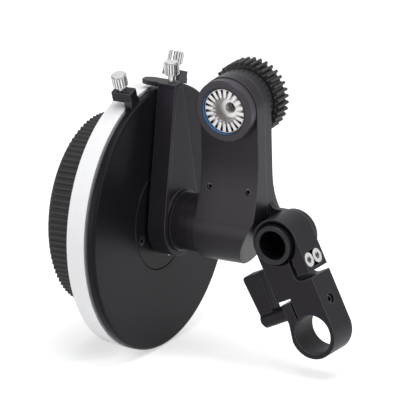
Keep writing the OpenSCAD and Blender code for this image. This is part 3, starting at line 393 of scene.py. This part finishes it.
# %% [markdown]
# Black gear plastic.
# The drive gear has to run quietly against the ring of a lens, and the photograph shows a dark,
# slightly soft-looking gear. It is given a moulded plastic with a faint grain and a mild sheen.

# %% The gear plastic finish
def gear_plastic(name):
    finish, tree, shader = start_finish(name)
    place = millimetres(tree)
    fine = grain(tree, place, 5.0, detail=3.0)
    broad = grain(tree, place, 0.25, detail=3.0)
    rounded = rounded_normal(tree, 0.18)
    body = blend_colours(tree, broad, (0.008, 0.0078, 0.0084), (0.016, 0.0155, 0.0168))
    worn = blend_colours(tree, edge_mask(tree, rounded, 0.25), body, (0.035, 0.034, 0.037))
    tree.links.new(worn, shader.inputs["Base Color"])
    tree.links.new(between(tree, fine, 0.42, 0.56), shader.inputs["Roughness"])
    tree.links.new(relief(tree, fine, 0.006, rounded), shader.inputs["Normal"])
    shader.inputs["Specular IOR Level"].default_value = 0.45
    return finish


# %% [markdown]
# Hand each node its finish.
# Each finish is made once and shared by the pieces that have the same make and the same lathe
# axis. The lists name the pieces; the count at the end shows that none was missed.

# %% Make the finishes
housing_black = blasted_black("housing_black")
arm_black = blasted_black("arm_black", tone=0.018, rough=0.4, gloss=0.1)
link_black = blasted_black("link_black", tone=0.011, rough=0.4, gloss=0.15)
wheel_black = turned_black("wheel_black", wheel_axis, "X", tone=0.007, rough=0.36, gloss=0.09)
neck_black = turned_black("neck_black", wheel_axis, "X", tone=0.012, rough=0.28, gloss=0.24)
port_black = turned_black("port_black", drive_axis, "Y", tone=0.02, rough=0.36, gloss=0.4)
tube_black = turned_black("tube_black", tube_axis, "Y", tone=0.006, rough=0.32, gloss=0.26)
grip_black = matte_grip("grip_black")
ring_white = marking_white("ring_white", wheel_axis)
# The crown's notches get painted shade, dark only beyond 5.9 mm from the drive axis.
crown_silver = bare_metal("crown_silver", (0.6, 0.585, 0.58), 0.32, drive_axis, "Y",
                          shade=0.94, reach=1.6, cavity_shade=0.1, lighter_shade_within=5.9)
screw_silver = bare_metal("screw_silver", (0.74, 0.735, 0.745), 0.26)
screw_dark = bare_metal("screw_dark", (0.16, 0.16, 0.17), 0.38, reach=2.0)
shaft_steel = bare_metal("shaft_steel", (0.48, 0.47, 0.44), 0.3)
bush_bronze = bare_metal("bush_bronze", (0.62, 0.42, 0.18), 0.34)
sleeve_mouth = (drive_axis.x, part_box("port_sleeve")[0].y, drive_axis.z)
sleeve_blue = lined_blue("sleeve_blue", sleeve_mouth)
gear_black = gear_plastic("gear_black")

# %% Put them on the CAD nodes
finishes = {
    housing_black: "front_housing rear_housing pointer stop_a_block stop_b_block",
    arm_black: "index_arm",
    link_black: "clamp_link clamp_lever",
    wheel_black: "wheel_disc wheel_drum hub_plate grip_cap",
    neck_black: "neck neck_ring",
    port_black: "port_ring",
    tube_black: "swing_tube tube_collar",
    grip_black: "grip_knob",
    ring_white: "marking_ring",
    crown_silver: "drive_shaft",
    screw_silver: "clamp_screws pointer_screw stop_a_screw stop_b_screw",
    screw_dark: "lever_stud lever_washer case_screws arm_set_screw grip_screws shaft_screw"
                " gear_washer gear_screw front_set_screws hub_screws",
    shaft_steel: "wheel_shaft input_crown_wheel riser_shaft lower_pinion upper_pinion"
                 " output_crown_wheel",
    bush_bronze: "port_bush drive_bush riser_bushes shaft_bushes",
    sleeve_blue: "port_sleeve",
    gear_black: "drive_gear",
}
dressed = 0
for finish, names in finishes.items():
    for name in names.split():
        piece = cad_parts[name]
        if not piece.material_slots:
            piece.data.materials.append(finish)
        for place in piece.material_slots:
            place.material = finish
        dressed += 1
print("dressed", dressed, "of", len(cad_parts), "nodes")

# %% [markdown]
# A helper for new pieces.
# New pieces are made with bmesh, in metres and straight in the frame's coordinates, so their
# objects stay at the origin. After modelling, doubles are merged and the normals recalculated,
# because spinning a shape can turn it inside out.

# %% Helper: from a bmesh to a piece
def finish_piece(bm, name, finish, body):
    bmesh.ops.remove_doubles(bm, verts=bm.verts, dist=1e-7)
    bmesh.ops.recalc_face_normals(bm, faces=bm.faces)
    mesh = bpy.data.meshes.new(name)
    bm.to_mesh(mesh)
    bm.free()
    for face in mesh.polygons:
        face.use_smooth = True
    mesh.materials.append(finish)
    piece = bpy.data.objects.new(name, mesh)
    bpy.context.scene.collection.objects.link(piece)
    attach(piece, body)
    print(name, "has", len(mesh.polygons), "faces")


# %% [markdown]
# The thread in the crank hole.
# A hand crank screws into the hole at the bottom of the notched cup, and the photograph shows
# light catching on the thread. A bump pattern could fake it, but from close by the crests should
# stand out of the wall. So a small triangle is swept round the hole with bmesh's spin, which
# also moves a little along the axis at each step: that makes a helix.

# %% Cut the thread
thread_pitch = 0.0008
thread_turns = 5
thread_steps = 28
hole_radius = 0.0021
crest_height = 0.0003       # how far the thread stands out of the wall
root_half_width = 0.00034
root_overlap = 0.00001      # the root dips into the wall, so that no slit shows
hole_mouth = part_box("drive_shaft")[0].y + 0.0044
first_turn = 0.0003         # the thread starts this far inside the mouth

bm = bmesh.new()
start = Vector((drive_axis.x, hole_mouth + first_turn, drive_axis.z))
corners = [
    start + Vector((0, -root_half_width, hole_radius + root_overlap)),
    start + Vector((0, 0, hole_radius - crest_height)),
    start + Vector((0, root_half_width, hole_radius + root_overlap)),
]
tooth = bm.faces.new([bm.verts.new(c) for c in corners])
bmesh.ops.spin(
    bm, geom=[tooth, *tooth.edges, *tooth.verts], cent=start, axis=(0, 1, 0),
    dvec=(0, thread_pitch / thread_steps, 0), angle=2 * math.pi * thread_turns,
    steps=thread_steps * thread_turns, use_merge=False, use_duplicate=False,
)
finish_piece(bm, "crank_thread", crown_silver, "drive")

# %% [markdown]
# The camera.
# The photograph was taken with a long lens from the right, in front of and above the unit. The
# three directions below are the picture's right, its up, and the way back to the camera. The
# distance sets how strong the perspective is, and the lens then sets the size in the picture.

# %% Place the camera
picture_right = Vector((0.864, 0.504, -0.023)).normalized()
picture_up = Vector((-0.142, 0.287, 0.948))
picture_up = (picture_up - picture_up.dot(picture_right) * picture_right).normalized()
towards_camera = picture_right.cross(picture_up)
disc_face = Vector((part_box("wheel_disc")[1].x, wheel_axis.y, wheel_axis.z))
middle_right, middle_up = 0.01389, 0.00622     # from the disc's face to the picture's middle
picture_middle = disc_face + middle_right * picture_right + middle_up * picture_up
camera_distance = 6.0
sensor_width_mm = 36
picture_pixels = 400
pixels_per_metre = 2700

lens = bpy.data.cameras.new("studio_camera")
lens.sensor_width = sensor_width_mm
lens.lens = sensor_width_mm / picture_pixels * pixels_per_metre * camera_distance
lens.clip_start = 0.05
lens.clip_end = 20
camera = bpy.data.objects.new("studio_camera", lens)
turn = Matrix((picture_right, picture_up, towards_camera)).transposed().to_4x4()
camera.matrix_world = Matrix.Translation(picture_middle + camera_distance * towards_camera) @ turn
bpy.context.scene.collection.objects.link(camera)
bpy.context.scene.camera = camera
print("lens", round(lens.lens, 1), "mm at", camera_distance, "m")

# %% [markdown]
# The studio.
# The photograph has a plain white ground. The floor and the world both show white to the
# camera, to reflections and to glass, but they light the unit at a plain level, so a colour
# renders about as it is written. The floor still takes the unit's shadow, because only part of
# its white is its own glow and the rest is lit by the lamps.

# %% White for what looks at it
def seen_directly(tree):
    """1 for rays from the camera, a reflection or glass, and 0 for light that spreads."""
    path = add_node(tree, "ShaderNodeLightPath")
    first = add_node(tree, "ShaderNodeMath", operation="MAXIMUM")
    both = add_node(tree, "ShaderNodeMath", operation="MAXIMUM")
    tree.links.new(path.outputs["Is Camera Ray"], first.inputs[0])
    tree.links.new(path.outputs["Is Glossy Ray"], first.inputs[1])
    tree.links.new(first.outputs[0], both.inputs[0])
    tree.links.new(path.outputs["Is Transmission Ray"], both.inputs[1])
    return both.outputs[0]


# %% Show the colours as they are
bpy.context.scene.view_settings.view_transform = "Standard"

# %% The world
world_light = 0.45      # how strongly the white world lights the unit

world = bpy.data.worlds.new("white_studio")
world.use_nodes = True
bpy.context.scene.world = world
sky = world.node_tree
sky.nodes.clear()
shown = add_node(sky, "ShaderNodeBackground", Color=(1, 1, 1, 1), Strength=1.0)
lighting = add_node(sky, "ShaderNodeBackground", Color=(0.97, 0.98, 1.0, 1),
                    Strength=world_light)
choose = add_node(sky, "ShaderNodeMixShader")
sky_out = add_node(sky, "ShaderNodeOutputWorld")
sky.links.new(seen_directly(sky), choose.inputs[0])
sky.links.new(lighting.outputs[0], choose.inputs[1])
sky.links.new(shown.outputs[0], choose.inputs[2])
sky.links.new(choose.outputs[0], sky_out.inputs["Surface"])

# %% The floor
floor_half_size = 6
floor_gap = 0.0003      # keeps the floor just clear of the unit
paper_glow = 0.5        # the share of the paper's white that it gives by itself

bm = bmesh.new()
bmesh.ops.create_grid(bm, x_segments=2, y_segments=2, size=floor_half_size)
bmesh.ops.translate(bm, verts=bm.verts, vec=(0, 0, cad_low.z - floor_gap))
floor_mesh = bpy.data.meshes.new("studio_floor")
bm.to_mesh(floor_mesh)
bm.free()
floor = bpy.data.objects.new("studio_floor", floor_mesh)
bpy.context.scene.collection.objects.link(floor)

paper = bpy.data.materials.new("studio_paper")
paper.use_nodes = True
sheet = paper.node_tree
sheet.nodes.clear()
lit = add_node(sheet, "ShaderNodeBsdfDiffuse", Color=(0.82, 0.82, 0.82, 1))
glow = add_node(sheet, "ShaderNodeEmission", Color=(1, 1, 1, 1))
strength = add_node(sheet, "ShaderNodeMath", operation="MULTIPLY")
strength.inputs[1].default_value = paper_glow
together = add_node(sheet, "ShaderNodeAddShader")
sheet_out = add_node(sheet, "ShaderNodeOutputMaterial")
sheet.links.new(seen_directly(sheet), strength.inputs[0])
sheet.links.new(strength.outputs[0], glow.inputs["Strength"])
sheet.links.new(lit.outputs[0], together.inputs[0])
sheet.links.new(glow.outputs[0], together.inputs[1])
sheet.links.new(together.outputs[0], sheet_out.inputs["Surface"])
floor_mesh.materials.append(paper)

# %% [markdown]
# The lamps.
# Big soft lamps suit a satin black object, because it shows its shape only through what it
# reflects. A large one above the camera draws the front and the hollows, one from the right
# lights the sides, and a low one from the left keeps the wheel from going dead.

# %% Hang the soft lamps
aim = (cad_low + cad_high) / 2


def soft_lamp(name, right, up, back, size, watts):
    lamp = bpy.data.lights.new(name, "AREA")
    lamp.shape = "RECTANGLE"
    lamp.size, lamp.size_y = size
    lamp.energy = watts
    place = aim + right * picture_right + up * picture_up + back * towards_camera
    holder = bpy.data.objects.new(name, lamp)
    holder.matrix_world = Matrix.Translation(place) @ (
        (aim - place).to_track_quat("-Z", "Y").to_matrix().to_4x4()
    )
    bpy.context.scene.collection.objects.link(holder)
    print(name, "hangs", round((place - aim).length, 2), "m away")


soft_lamp("top_lamp", 0.05, 0.65, 0.35, (0.6, 0.5), 3.8)
soft_lamp("right_lamp", 0.62, 0.2, 0.5, (0.3, 0.5), 1.9)
soft_lamp("left_lamp", -0.65, 0.0, 0.45, (0.3, 0.6), 1.5)
